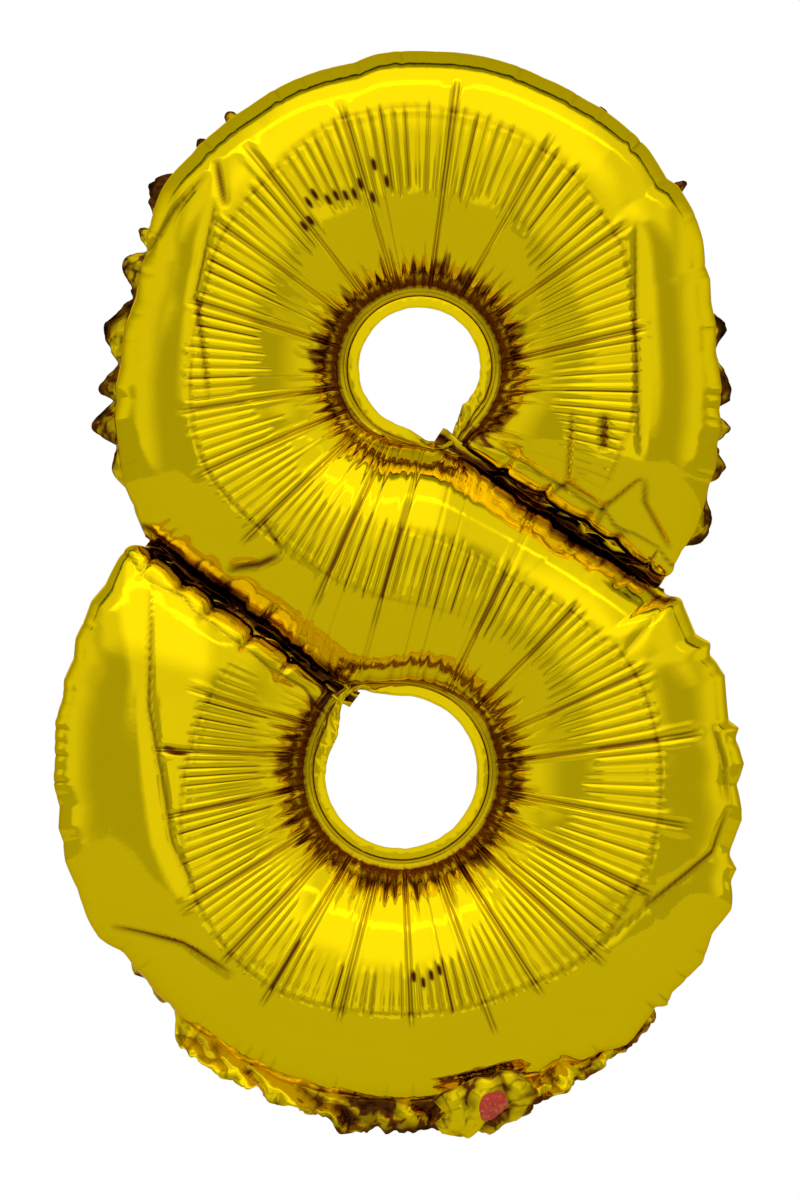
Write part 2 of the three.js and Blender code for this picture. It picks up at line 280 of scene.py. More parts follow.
PLEAT = 2.9  # the fine pleats' pitch along the tube's middle
PLEAT_STEPS = 6
ROWS = 122
END_ROWS = 0.35  # how much closer the rows lie at both sides of the sheet
even_rows = np.linspace(0, 1, ROWS + 1)
ROW_SHARE = (1 - END_ROWS) * even_rows + END_ROWS * (1 - np.cos(np.pi * even_rows)) / 2


class Strip:
    """Columns of the sheets' grid: whole pleats between one long crease and the next."""

    def __init__(self):
        self.creases, self.pleat_end, self.pleat_start = crease_table()
        lengths = np.diff(self.creases)
        self.pleats = np.maximum(2, np.round(lengths / PLEAT).astype(int))
        run, panel, pleat = [], [], []
        for k, (start, length, count) in enumerate(zip(self.creases, lengths, self.pleats)):
            share = np.arange(count * PLEAT_STEPS) / (count * PLEAT_STEPS)
            run.append(start + share * length)
            panel.append(k + share)
            pleat.append(self.pleats[:k].sum() + share * count)
        self.run = np.append(np.concatenate(run), self.creases[-1])
        self.panel = np.append(np.concatenate(panel), len(lengths))
        self.pleat = np.append(np.concatenate(pleat), self.pleats.sum())
        self.side_a = self.at_run(survey_a)
        self.side_b = self.at_run(survey_b)
        self.width = abs(self.side_b - self.side_a)
        turn = smooth((self.run - run_at(1, 0)) / (run_at(3, 0) - run_at(1, 0)))
        self.facing = 1 - 2 * turn  # 1 where side B is the hole, -1 where side A is

    def at_run(self, values):
        real, imag = (np.interp(self.run, survey_run, part) for part in (values.real, values.imag))
        return real + 1j * imag


strip = Strip()
COLUMNS = len(strip.run)


# ---------------- the inflated section
FULLNESS = 0.42  # height over width where the tube is straight
FOOT = 2.4  # a flat foot beside the hole's weld, then a steep wall
FOOT_SLOPE = np.radians(14)
WALL_SLOPE = np.radians(64)
WALL_END = 13.0
SECTION_STEP = 0.1


def walk_section(hole, outer, crown):
    """The section's points from the hole outwards, till it comes back down to the seam's plane."""
    radius, height, gone = hole, 0.0, 0.0
    points = [(gone, radius, height)]
    span = outer**2 - crown**2
    while (height > 0 or gone < FOOT) and gone < 3 * (outer - hole):
        free = np.arcsin(np.clip((crown**2 - radius**2) / span, -1, 1))
        slope = mix(WALL_SLOPE, free, smooth((gone - FOOT) / (WALL_END - FOOT)))
        slope = mix(FOOT_SLOPE, slope, smooth((gone - FOOT + 0.5) / 1.0))
        radius += np.cos(slope) * SECTION_STEP
        height += np.sin(slope) * SECTION_STEP
        gone += SECTION_STEP
        points.append((gone, radius, height))
    return np.array(points).T


def ring_section(hole, outer):
    """A wrinkled sheet's section from a hole to an outer weld: shares of the width, heights over the width.

    It carries no tension round the ring, so its slope is level at the crown, and at a radius has the sine
    (crown^2 - radius^2) / (outer^2 - crown^2).
    """
    low, high = (hole + outer) / 2, np.sqrt((hole**2 + outer**2) / 2)
    for _ in range(24):
        crown = (low + high) / 2
        gone, radius, height = walk_section(hole, outer, crown)
        low, high = (low, crown) if radius[-1] > outer - 0.4 else (crown, high)
    share = gone / gone[-1]
    width = radius[-1] - hole
    return np.interp(ROW_SHARE, share, (radius - hole) / width), np.interp(ROW_SHARE, share, height / width)


def blur_along(values, reach):
    """Smooths a grid along the strip, more in the middle of the tube than at its sides. Its ends stay."""
    result = values.copy()
    pad = int(3 * reach)
    for j, share in enumerate(ROW_SHARE):
        spread = reach * abs(np.sin(np.pi * share)) ** 0.7
        if spread < 0.5:
            continue
        line = values[:, j]
        before = 2 * line[0] - line[pad:0:-1]
        after = 2 * line[-1] - line[-2 : -pad - 2 : -1]
        kernel = np.exp(-0.5 * (np.arange(-pad, pad + 1) / spread) ** 2)
        long_line = np.concatenate([before, line, after])
        result[:, j] = np.convolve(long_line, kernel / kernel.sum(), mode="valid")
    return result


END_ROUNDING = 36.0
END_OVERHANG = 1.7  # how far a tube's end bulges over the partition
GRID_BLUR = 24  # columns

plan_low, height_low = ring_section(LOWER.hole, LOWER.outer)
plan_up, height_up = ring_section(UPPER.hole, UPPER.outer)


def row_at(plan_share, facing):
    """The arc share, from the hole, of a plan share of the width."""
    profile = mix(plan_low, plan_up, (facing + 1) / 2)
    return np.interp(plan_share, profile, ROW_SHARE)


def bulge(distance, reach):
    """Rises from 0 to 1 at the reach, then dies away."""
    return distance / reach * np.exp(1 - distance / reach)


def smooth_tube():
    """Plan points and heights of the smooth inflated sheet."""
    turn = np.pi * ROW_SHARE
    across_mid, height_mid = (1 - np.cos(turn)) / 2, FULLNESS * np.sin(turn)
    up = np.maximum(strip.facing, 0)[:, None]
    low = np.maximum(-strip.facing, 0)[:, None]
    straight = 1 - up - low
    across = up * (1 - plan_up[::-1]) + low * plan_low + straight * across_mid
    height = up * height_up[::-1] + low * height_low + straight * height_mid
    plan = strip.side_a[:, None] + (strip.side_b - strip.side_a)[:, None] * across
    plan = blur_along(plan, GRID_BLUR)
    height = blur_along(height * strip.width[:, None], GRID_BLUR)
    steps = abs(np.diff(plan, axis=0))
    nothing = np.zeros((1, ROWS + 1))
    from_start = np.concatenate([nothing, np.cumsum(steps, axis=0)])
    from_end = np.concatenate([np.cumsum(steps[::-1], axis=0)[::-1], nothing])
    to_end = np.minimum(from_start, from_end)
    closing = np.sqrt(1 - (1 - np.minimum(1, to_end / END_ROUNDING)) ** 2) ** 0.9
    back = np.where(from_start < from_end, -1, 1)
    heading = np.gradient(plan, axis=0)
    heading /= np.maximum(abs(heading), 1e-9)
    level = smooth(height / 12)
    plan = plan + END_OVERHANG * back * heading * bulge(to_end, 3.5) * level
    return plan, height * closing


# ---------------- the puckered outer weld
def span_of(angle, low, high, fade):
    """1 between two angles in degrees."""
    return window(np.degrees(angle), low, high, fade)


class Pucker:
    """How a loop's outer weld is gathered, and how the sheet beside it and the margin outside it lie."""

    SPACING = 15.0  # of the notches
    EASE = 8.0  # of the pucker, at a waist

    def __init__(self, loop, seed, rise, overhang, scallop, margin):
        rng = np.random.default_rng(seed)
        self.loop = loop
        self.rise = rise
        self.scallop_at = scallop
        self.overhang_at = overhang
        self.margin_at = margin
        low, high = sorted((loop.start, loop.end))
        count = int((high - low) * loop.outer / self.SPACING)
        jitter = rng.uniform(-0.36, 0.36, count + 1) * (high - low) / count
        self.knots = np.linspace(low, high, count + 1) + jitter
        self.knots[0], self.knots[-1] = low, high
        self.depth = rng.uniform(0.2, 1.0, count + 1)
        self.swell = rng.uniform(-1, 1, count + 1)
        self.side = rng.uniform(-1, 1, count + 1)
        self.tab = rng.uniform(0.55, 1.05, count + 1)
        self.lopsided = rng.uniform(0.55, 1.6, count + 1)

    def between(self, angle):
        """The share of the way from one notch to the next."""
        k = np.clip(np.searchsorted(self.knots, angle, side="right") - 1, 0, len(self.knots) - 2)
        return (angle - self.knots[k]) / (self.knots[k + 1] - self.knots[k]), k

    def calm(self, angle):
        """0 at the waists, where two loops' welds meet."""
        away = np.minimum(abs(angle - self.loop.start), abs(angle - self.loop.end))
        return smooth(away * self.loop.outer / self.EASE)

    def weld(self, angle):
        """The weld's distance outwards from its smooth outline, and behind the seam's plane."""
        share, k = self.between(angle)
        notch = np.exp(-share * 8) * self.depth[k] + np.exp(-(1 - share) * 8) * self.depth[k + 1]
        side = np.interp(angle, self.knots, self.side)
        return (-0.5 - 1.0 * notch) * self.calm(angle), 0.8 * side * self.calm(angle)

    def arch(self, angle, roundness=1.0):
        """Rises to 1 between one notch and the next, nearer to one of them."""
        share, k = self.between(angle)
        return 1 - abs(2 * np.clip(share, 0, 1) ** self.lopsided[k] - 1) ** roundness

    def overhang(self, angle):
        """How far the sheet beside the weld bulges out over it."""
        swell = np.interp(angle, self.knots, self.swell)
        return self.overhang_at(angle) * (1 + 0.12 * swell) * self.calm(angle)


def upper_overhang(angle):
    return 1.4 + 7.4 * span_of(angle, 32, 140, 26) + 1.4 * span_of(angle, -34, 6, 20)


def lower_overhang(angle):
    left = 2.8 * span_of(angle, -230, -156, 10)
    right = 1.7 * span_of(angle, -60, 20, 16) + 4.0 * span_of(angle, -54, -22, 10)
    return 4.8 + left + right - 4.2 * span_of(angle, -140, -60, 12)


def upper_scallop(angle):
    """How deep the puckers' arches are beside the weld."""
    return 0.8 - 0.7 * span_of(angle, 60, 130, 20)


def lower_scallop(angle):
    return 1.0 + 1.3 * span_of(angle, -62, 30, 12) - 0.7 * span_of(angle, -140, -75, 8)


def upper_margin(angle, tab):
    """The upper loop's margin: its width, how far it leans back, how strong its painted brown shade is, and
    how toothed.
    """
    left = span_of(angle, 112, 197, 6)
    right = span_of(angle, -30, 12, 12)
    top_right = span_of(angle, 30, 72, 8)
    high = span_of(angle, 118, 160, 8)
    width = 5.0 - 0.6 * left + (6.2 * left + 3.2 * right + 8.0 * top_right + 2.6 * high) * tab
    lean = 86 - 30 * left - 12 * right - 28 * top_right - 6 * high
    lean -= (36 * left + 32 * right + 36 * top_right) * tab
    return width, lean, 0.4 + 0.6 * left + 0.7 * right + 0.6 * top_right, 1.0


def lower_margin(angle, tab):
    flap = span_of(angle, -128, -103, 5)
    sag = span_of(angle, -99, -80, 4)
    ruffle = span_of(angle, -71, -44, 4)
    width = 4.6 + 4.4 * flap + 6.6 * sag + 6.6 * ruffle
    lean = 84 - 16 * tab * (1 - flap) - 108 * flap - 74 * sag - 96 * ruffle
    # the painted brown shade
    brown_shade = 0.25 - 0.1 * flap + 0.75 * sag + 0.3 * ruffle
    return width, lean, brown_shade, 1 - 0.8 * flap - 0.85 * sag - 0.6 * ruffle


STEEP_RISE = 9.0  # from the weld to where the sheet's bulge over it is in full
GENTLE_RISE = 14.0


def steep_rise(distance):
    """The upper loop's sheet bulges over its weld at once, and its edge shows as a broad plain band."""
    return smooth(distance / STEEP_RISE)


def gentle_rise(distance):
    return bulge(distance, GENTLE_RISE)


upper_pucker = Pucker(UPPER, 3, steep_rise, upper_overhang, upper_scallop, upper_margin)
lower_pucker = Pucker(LOWER, 5, gentle_rise, lower_overhang, lower_scallop, lower_margin)
SHEET_ARC = 1.3  # the inflated sheet's length from side to side, over the tube's width
RIM_REACH = 5.0  # how far the pucker of a seam runs up the sheet
SCALLOP_REACH = 5.5
OVERHANG_END = 56.0  # from the weld, where the bulge over it is gone
OVERHANG_FADE = 42.0
VALLEY_OVERHANG = 1.6  # over the partitions, from the diagonal's sides
HOLE_DRAW = 3.4  # a partition's pull draws each hole out to a point
HOLE_DRAW_HALF = np.radians(17)


def hole_draw(loop, partition_at, angle):
    """How far a hole's weld is drawn outwards beside its partition."""
    away = np.angle(np.exp(1j * (angle - partition_at)))
    return HOLE_DRAW * bell(away, HOLE_DRAW_HALF)


def shape_rims(plan, y):
    """Puckers the outer welds, bulges the sheet over welds and partitions, and draws out the holes."""
    on_upper = strip.run <= run_at(1, 0)
    on_lower = strip.run >= run_at(3, 0)
    from_a = ROW_SHARE * SHEET_ARC * strip.width[:, None]
    from_b = (1 - ROW_SHARE) * SHEET_ARC * strip.width[:, None]
    for loop, pucker, columns, side, distance in (
        (UPPER, upper_pucker, on_upper, strip.side_a, from_a),
        (LOWER, lower_pucker, on_lower, strip.side_b, from_b),
    ):
        angle = np.unwrap(np.angle(side[columns] - loop.centre))
        angle = (angle + np.round((loop.start - angle[0]) / TAU) * TAU)[:, None]
        distance = distance[columns]
        near = np.exp(-((distance / RIM_REACH) ** 1.6))
        radial, behind = pucker.weld(angle)
        scallop = pucker.scallop_at(angle) * (pucker.arch(angle) - 0.5) * pucker.calm(angle)
        away = pucker.rise(distance) * smooth((OVERHANG_END - distance) / OVERHANG_FADE)
        out = radial * near + pucker.overhang(angle) * away + scallop * bulge(distance, SCALLOP_REACH)
        plan[columns] += out * np.exp(1j * angle)
        y[columns] += behind * near
    for loop, at in ((UPPER, UPPER_PARTITION_AT), (LOWER, LOWER_PARTITION_AT)):
        away = plan - loop.centre
        near = np.exp(-(np.maximum(abs(away) - loop.hole, 0) / 6))
        plan += hole_draw(loop, at, np.angle(away)) * near * away / abs(away)
    inside = smooth((strip.run - run_at(1, 0)) / 12) * smooth((run_at(3, 0) - strip.run) / 12)
    side_out = VALLEY_OVERHANG * inside * (strip.side_a - strip.side_b) / strip.width
    past_middle = (strip.run - run_at(2, 0)) / 6
    plan += (side_out * smooth(-past_middle))[:, None] * bulge(from_a, 4.0)
    plan -= (side_out * smooth(past_middle))[:, None] * bulge(from_b, 4.0)
    return plan, y


# ---------------- noise
class Noise:
    """Value noise on a plane: smooth, or in flat facets with sharp creases between them."""

    SIZE = 64

    def __init__(self, seed):
        self.grid = np.random.default_rng(seed).uniform(-1, 1, (self.SIZE, self.SIZE))

    def corners(self, x, y):
        i, j = np.floor(x).astype(int), np.floor(y).astype(int)
        steps = ((0, 0), (1, 0), (0, 1), (1, 1))
        return x - i, y - j, *(self.grid[(i + a) % self.SIZE, (j + b) % self.SIZE] for a, b in steps)

    def __call__(self, x, y):
        u, v, low, right, top, far = self.corners(x, y)
        u, v = smooth(u), smooth(v)
        return mix(mix(low, right, u), mix(top, far, u), v)

    def facets(self, x, y):
        """Crumpled film: triangles of a warped lattice, each of them flat."""
        x, y = x + 0.55 * self(x * 0.7 + 9, y * 0.7), y + 0.55 * self(x * 0.7, y * 0.7 + 23)
        u, v, low, right, top, far = self.corners(x, y)
        below = low + (right - low) * u + (far - right) * v
        above = low + (top - low) * v + (far - top) * u
        return np.where(u > v, below, above)

    def creases(self, x, y, width):
        """1 on thin wandering lines, and 0 between them."""
        return bell(self(x, y), width) + 0.8 * bell(self(2 * x + 17, 2 * y + 5), width)

    def crumple(self, x, y):
        return self.facets(x, y) + 0.4 * self.facets(x * 2.3 + 31, y * 2.3 + 7)


# ---------------- pleats and creases
PLEAT_HEIGHT = 0.66
HOLE_PLEAT_HEIGHT = 0.75
PANEL_BULGE = 0.8
CREASE_DEPTH = 1.15
BAND_SINK = 0.3
WIDE_PANEL = 28.0  # between two long creases, where the panel bulges in full
DOTS_WHERE_INNER = 0.43  # painted black shadow dots lie only where the pleats begin further out than this


class Pleats:
    """One sheet's pleats and long creases, between the hole and the crown, and the painted shade in them."""

    def __init__(self, seed):
        rng = np.random.default_rng(seed)
        creases = len(strip.creases)
        pleats = strip.pleats.sum() + 2
        self.edge = row_at(strip.pleat_end, 0.0) + rng.uniform(-0.01, 0.012, creases)
        self.inner = row_at(strip.pleat_start, 0.0)
        self.spike = rng.uniform(0.0, 0.08, creases) * (rng.uniform(0, 1, creases) > 0.35)
        group = np.arange(0, pleats + 5, 5)
        cluster = np.interp(np.arange(pleats), group, rng.uniform(-0.05, 0.04, len(group)))
        self.inner_jitter = 0.7 * cluster + rng.uniform(-0.02, 0.02, pleats) + rng.normal(0, 0.02, pleats)
        self.outer_jitter = rng.uniform(-0.018, 0.014, pleats)
        self.height = rng.uniform(0.25, 1.25, pleats)
        # how strong each pleat's painted shade is
        self.shade_and_tone = rng.uniform(0.3, 1.1, pleats)
        self.dot = np.repeat(rng.uniform(0, 1, pleats // 4 + 1) > 0.5, 4)[:pleats]
        self.hole_end = 0.16 + rng.uniform(-0.07, 0.08, pleats)
        self.hole_height = rng.uniform(0.5, 1.1, pleats)
        self.long_pleat = rng.uniform(0.2, 0.7, pleats) * (rng.uniform(0, 1, pleats) > 0.86)
        self.rim_pleat = rng.uniform(0, 1, pleats) ** 5
        self.crease = rng.uniform(0.75, 1.15, creases)
        self.crease[0] = self.crease[-1] = 0

    def offsets(self, share):
        """Distances outwards along the normal, and the painted shade, where share runs from the hole at 0 to
        the outer weld at 1.
        """
        panel = np.minimum(np.floor(strip.panel).astype(int), len(strip.pleats) - 1)[:, None]
        x = strip.panel[:, None] - panel
        edge = mix(self.edge[panel], self.edge[panel + 1], x)
        inner = mix(self.inner[panel], self.inner[panel + 1], x)
        pleat = np.minimum(np.floor(strip.pleat + 1e-6).astype(int), len(self.height) - 1)[:, None]
        phase = strip.pleat[:, None] - pleat
        wave = abs(np.sin(np.pi * phase)) ** 0.7 - 0.6
        valley = bell(np.minimum(phase, 1 - phase) * PLEAT_STEPS, 0.7)
        start = inner + self.inner_jitter[pleat]
        ticks = window(share, start, edge + self.outer_jitter[pleat], 0.03)
        body = window(share, 0.1, edge, 0.035) * self.long_pleat[pleat]
        strength = np.minimum(ticks * self.height[pleat] + body, 1.2)
        result = PLEAT_HEIGHT * (0.5 + share) * wave * strength
        # The fold values are painted shade: down each pleat's valley, black dots where some pleats begin, in
        # the pairs of pleats by the hole, along the long creases, on the thin line at the band's edge and in
        # the rim pleats.
        fold_shade = self.shade_and_tone[pleat] * valley * strength
        dotted = self.dot[pleat] * bell(phase - 0.5, 0.2) * smooth((inner - DOTS_WHERE_INNER) / 0.02)
        fold_shade += 2 * dotted * np.exp(-(((share - start - 0.02) / 0.017) ** 4))
        pair = strip.pleat[:, None] / 2
        pair_phase = pair - np.floor(pair)
        pair_wave = abs(np.sin(np.pi * pair)) ** 0.75 - 0.6
        pair_valley = bell(np.minimum(pair_phase, 1 - pair_phase) * 2 * PLEAT_STEPS, 1.6)
        near_hole = window(share, 0.06, self.hole_end[pleat], 0.06) * self.hole_height[pleat]
        result += HOLE_PLEAT_HEIGHT * pair_wave * near_hole
        fold_shade += 0.5 * pair_valley * near_hole
        flat = smooth(share / 0.25) * smooth((edge - share) / 0.3)
        length = np.diff(strip.creases)[panel]
        result += PANEL_BULGE * length / WIDE_PANEL * (1 - (2 * x - 1) ** 2) * flat
        crease, crease_shade = self.long_creases(share, panel, x * length, (1 - x) * length)
        result += crease
        fold_shade += crease_shade
        result -= BAND_SINK * smooth((edge - share) / 0.02) * smooth(share / 0.4)
        ridge = (share - edge - 0.008) * strip.width[:, None] * 1.25
        result -= 0.3 * np.exp(-abs(ridge) / 0.5)
        fold_shade += 0.35 * bell(ridge, 0.45)
        rim = window(share, 0.86, 0.95, 0.05) * self.rim_pleat[pleat]
        result += 0.5 * wave * rim
        fold_shade += 0.4 * valley * rim
        return result, fold_shade

    def long_creases(self, share, panel, after, before):
        """The creases on both sides of a panel, from the distances after the last one and before the next.

        A crease's own line stays up, as a thin ridge between two valleys.
        """
        total, fold_shade = 0.0, 0.0
        for k, distance in ((panel, after), (panel + 1, before)):
            end = self.edge[k] + 0.015 + self.spike[k]
            valley = np.exp(-distance / 0.55) - 0.3 * bell(distance - 1.8, 1.0)
            reach = window(share, 0.05, end, 0.05) * self.crease[k] * (distance != 0)
            total -= CREASE_DEPTH * valley * reach
            # painted shade along the crease
            fold_shade += 1.4 * bell(distance, 0.62) * reach
        return total, fold_shade


TONGUE = 15.0  # how far the painted brown tongues of shade reach from a hole
NO_BLACK = 26.0  # from a hole, within which the painted shade is no darker than brown


def gutter_shade(distance, along, diagonal, noise):
    """Painted shade on a sheet's foot beside a hole: a thin line left gold, a dark painted gutter, and ragged
    brown tongues of painted shade.

    On the diagonal, painted streaks of shade run along the hole in place of the tongues.
    """
    tongue = TONGUE + 7 * noise(along / 1.3, distance / 16) + 4 * noise(along / 4 + 9, distance / 30)
    gutter = smooth((distance - 1.7) / 0.7) * smooth((tongue - distance) / 4)
    gutter *= 0.74 + 0.3 * noise(along / 0.9 + 30, distance / 3)
    gutter += 0.3 * smooth((distance - 2.4) / 1.5) * smooth((9 - distance) / 3)
    streak = smooth((distance - 1.2) / 0.8) * smooth((13 - distance) / 5)
    streak *= np.clip(0.45 + 0.7 * noise(along / 9 + 60, distance / 1.3), 0, 1)
    foot = 0.55 * smooth((2.3 - distance) / 0.4) - 0.45 * bell(distance - 1.3, 0.35)
    return mix(gutter, streak, diagonal) + np.maximum(foot, 0)


def pleat_offsets(seed):
    """The pleats of the whole strip, whose band changes sides along the diagonal, and their painted shade."""
    pleats = Pleats(seed)
    noise = Noise(seed + 7)
    towards_b = ((1 + strip.facing) / 2)[:, None]
    share = np.broadcast_to(ROW_SHARE, (COLUMNS, ROWS + 1))
    from_b, shade_b = pleats.offsets(1 - share)
    from_a, shade_a = pleats.offsets(share)
    offsets = towards_b * from_b + (1 - towards_b) * from_a
    fold_shade = towards_b * shade_b + (1 - towards_b) * shade_a
    to_end = np.minimum(strip.run, strip.creases[-1] - strip.run)
    calm = smooth((to_end - 8) / 14)[:, None]
    by_hole_b = strip.run[:, None] <= run_at(2, 0)
    to_hole = np.where(by_hole_b, 1 - share, share) * strip.width[:, None] * SHEET_ARC
    diagonal = window(strip.run, run_at(1, 0), run_at(3, 0), 12)[:, None]
    gutter = gutter_shade(to_hole, 0.4 * strip.run[:, None], diagonal, noise)
    darkest = 2 - smooth((NO_BLACK - to_hole) / 5)
    return offsets * calm, np.minimum(fold_shade * calm + gutter, darkest)


# Single kinks and the edges of flat facets, as lines of the layout: the depth, the reach of the dent to the
# right and to the left of the line, and how strong the painted shade along it is.
KINKS = [
    ([-56.5 + 6.1j, -46 + 7.6j, -37.4 + 11.6j], 1.7, 0.7, 3.0, 1.0),
    ([-37.4 + 11.6j, -44.2 + 22.3j], 0.8, 0.6, 2.0, 0.5),
    ([-83.6 + 104.8j, -73 + 122j, -61.9 + 133.9j], 0.9, 2.5, 0.6, 0.5),
    ([-58.7 + 125.5j, -65.5 + 94.5j, -61.3 + 59j], 0.8, 2.2, 0.6, 0.5),
    ([-59.4 + 138j, -56.2 + 122j], 0.8, 0.9, 0.9, 0.9),
    ([74.8 + 117.7j, 74.8 + 83.9j, 76.1 + 41.9j], 0.9, 0.6, 2.6, 0.5),
    ([64.8 + 56.5j, 64.3 + 43.5j], 2.0, 1.1, 1.1, 1.0),
    ([54.8 + 57.7j, 52.6 + 33.2j], 1.0, 5.0, 0.8, 0.4),
    ([77.4 + 36.1j, 64.2 + 25.2j, 61.9 + 17.7j], 1.4, 0.7, 7.0, 0.6),
    ([78.1 + 36.1j, 78.1 + 27.4j, 87.0 + 12.5j], 1.3, 5.0, 0.6, 0.6),
    ([64.8 + 26.5j, 52.9 + 33.9j, 45.5 + 29.4j], 1.2, 0.6, 6.0, 0.6),
    ([-80 + 6.8j, -80.3 - 37.4j, -76.1 - 59.4j, -72.9 - 80j, -64.2 - 98.7j], 1.0, 2.6, 0.6, 0.5),
    ([-76.1 - 50j, -72 - 51.8j, -67.4 - 52.3j], 1.3, 0.7, 0.9, 0.8),
    ([-93.6 - 107.7j, -70 - 113.2j, -52.9 - 123.2j], 2.0, 8.0, 0.7, 1.0),
    ([105.2 - 69j, 100.3 - 83.6j, 78.7 - 100.6j, 78.1 - 94.2j], 1.4, 0.6, 8.0, 0.9),
    ([78.7 - 100.6j, 62.6 - 113.9j], 0.6, 0.6, 2.2, 0.3),
    ([105.2 - 69j, 103.6 - 54.8j, 99.5 - 41.9j], 0.7, 0.6, 2.2, 0.4),
    ([70 - 22j, 82 - 8j, 88 + 0j], 0.5, 0.8, 2.0, 0.2),
]
KINK_DEPTH = 1.4


def kink_offsets(plan, wander, seed):
    """Dents along every kink, and the painted shade along them. The back sheet's kinks wander from the
    front's.
    """
    rng = np.random.default_rng(seed)
    total, fold_shade = np.zeros(plan.shape), np.zeros(plan.shape)
    for line, depth, right_reach, left_reach, brown_shade in KINKS:
        line = np.array(line) + wander * (rng.normal() + 1j * rng.normal())
        dent, dark = np.zeros(plan.shape), np.zeros(plan.shape)
        lengths = abs(np.diff(line))
        before = np.concatenate([[0], np.cumsum(lengths)])
        for start, end, gone in zip(line[:-1], line[1:], before):
            unit = (end - start) / abs(end - start)
            local = (plan - start) * np.conj(unit)
            along = np.clip(local.real, 0, abs(end - start))
            distance = np.sqrt(abs(plan - start - unit * along) ** 2 + 0.05)
            reach = np.where(local.imag > 0, left_reach, right_reach)
            place = (gone + along) / before[-1]
            fade = 1 - abs(2 * place - 1) ** 4
            dent = np.maximum(dent, fade * np.exp(-distance / reach))
            dark = np.maximum(dark, fade * bell(distance, 0.55 + 0.55 * brown_shade))
        total -= KINK_DEPTH * depth * dent
        fold_shade += (0.3 + 0.8 * brown_shade) * dark
    return total, fold_shade


PILLOW = 14.0  # between the pinches along a partition
PILLOW_HEIGHT = 8.0  # of the row of pillows, from the partition's middle line
PARTITIONS = [(UPPER.rim(UPPER_PARTITION_AT), RIGHT_WAIST), (LOWER.rim(LOWER_PARTITION_AT), LEFT_WAIST)]


def crumpled_walls(plan, y, seed):
    """A row of pillows on the walls of the valleys beside the partitions, and painted shade there."""
    noise = Noise(seed)
    amount, fold_shade = np.zeros(plan.shape), np.zeros(plan.shape)
    for start, waist in PARTITIONS:
        unit = (waist - start) / abs(waist - start)
        local = (plan - start) * np.conj(unit)
        along = np.clip(local.real, -4, abs(waist - start) + 2)
        distance = abs(plan - start - unit * along)
        side = np.sign(local.imag)
        near = smooth((13 - distance) / 8) * smooth((24 - abs(y)) / 8)
        beat = local.real / PILLOW + 0.3 * noise(local.real / 9, side * 7) + 0.31 * side
        to_pinch = abs(beat - np.round(beat)) * PILLOW
        crumple = noise.facets(local.real / 6.5, local.imag / 8 + abs(y) / 9 + side * 13)
        top = PILLOW_HEIGHT + 1.6 * noise(local.real / 7, side * 3)
        pillow = np.sqrt(np.clip(1 - (2 * (distance / top) - 1) ** 2, 0, 1) * np.clip(to_pinch / 3, 0, 1))
        tube_end = (1 + side) / 2  # the other side is the diagonal's, which is smoother
        pinched = 1.2 * pillow - 0.8 * np.exp(-to_pinch / 1.2)
        amount += (0.4 * crumple + pinched * (0.2 + 0.8 * tube_end)) * near
        # painted shade: dark in the valley's core, crinkled on the tube's end, streaked on the diagonal's
        # side
        core = smooth((1.9 - distance) / 1.0)
        crinkled = 0.42 * smooth((4.6 - distance) / 2) * (1 + crumple)
        lines = bell(to_pinch, 0.6) * smooth((top - distance) / 2) + bell(distance - top, 0.5) * near
        streaks = np.clip(0.5 + 0.8 * noise(local.real / 11, distance / 1.1), 0, 1)
        streaks = streaks * smooth((6 - distance) / 2)
        fold_shade += core + tube_end * (crinkled + 0.9 * lines) + (1 - tube_end) * streaks
    return amount, fold_shade


# ---------------- meshes
def new_object(name, points, faces, material, shade=True):
    mesh = bpy.data.meshes.new(name)
    mesh.from_pydata(points.reshape(-1, 3).tolist(), [], faces.tolist())
    mesh.update()
    if shade:
        mesh.polygons.foreach_set("use_smooth", np.ones(len(mesh.polygons), bool))
    obj = bpy.data.objects.new(name, mesh)
    bpy.context.collection.objects.link(obj)
    mesh.materials.append(material)
    return obj


def grid_faces(columns, rows, closed=False, flip=False):
    i = np.arange(columns if closed else columns - 1)[:, None]
    j = np.arange(rows - 1)[None, :]
    following = (i + 1) % columns
    corners = [i * rows + j, following * rows + j, following * rows + j + 1, i * rows + j + 1]
    if flip:
        corners = corners[::-1]
    return np.stack([c.ravel() for c in np.broadcast_arrays(*corners)], axis=-1)


def grid_normals(points):
    along = np.gradient(points, axis=0)
    across = np.gradient(points, axis=1)
    normals = np.cross(along, across)
    return normals / np.maximum(np.linalg.norm(normals, axis=-1, keepdims=True), 1e-9)


def store_fold_shade(obj, values, darkest=2.0):
    """Painted shade in the folds, stored per point: gold at 0, painted brown shade at 1, painted black shadow
    at 2.
    """
    layer = obj.data.attributes.new("fold_shade", "FLOAT", "POINT")
    layer.data.foreach_set("value", np.clip(values, 0, darkest).astype(np.float32).ravel())


FILM = 0.12  # as modelled
WELD_FILM = 0.15
VALVE_FILM = 0.2
INK = 0.1


def thicken(obj, thickness):
    solid = obj.modifiers.new("thickness", "SOLIDIFY")
    solid.thickness = thickness * MM
    solid.offset = 0
    return obj


SPLIT_CREASE = 13  # each sheet is two pieces, which meet along this long crease


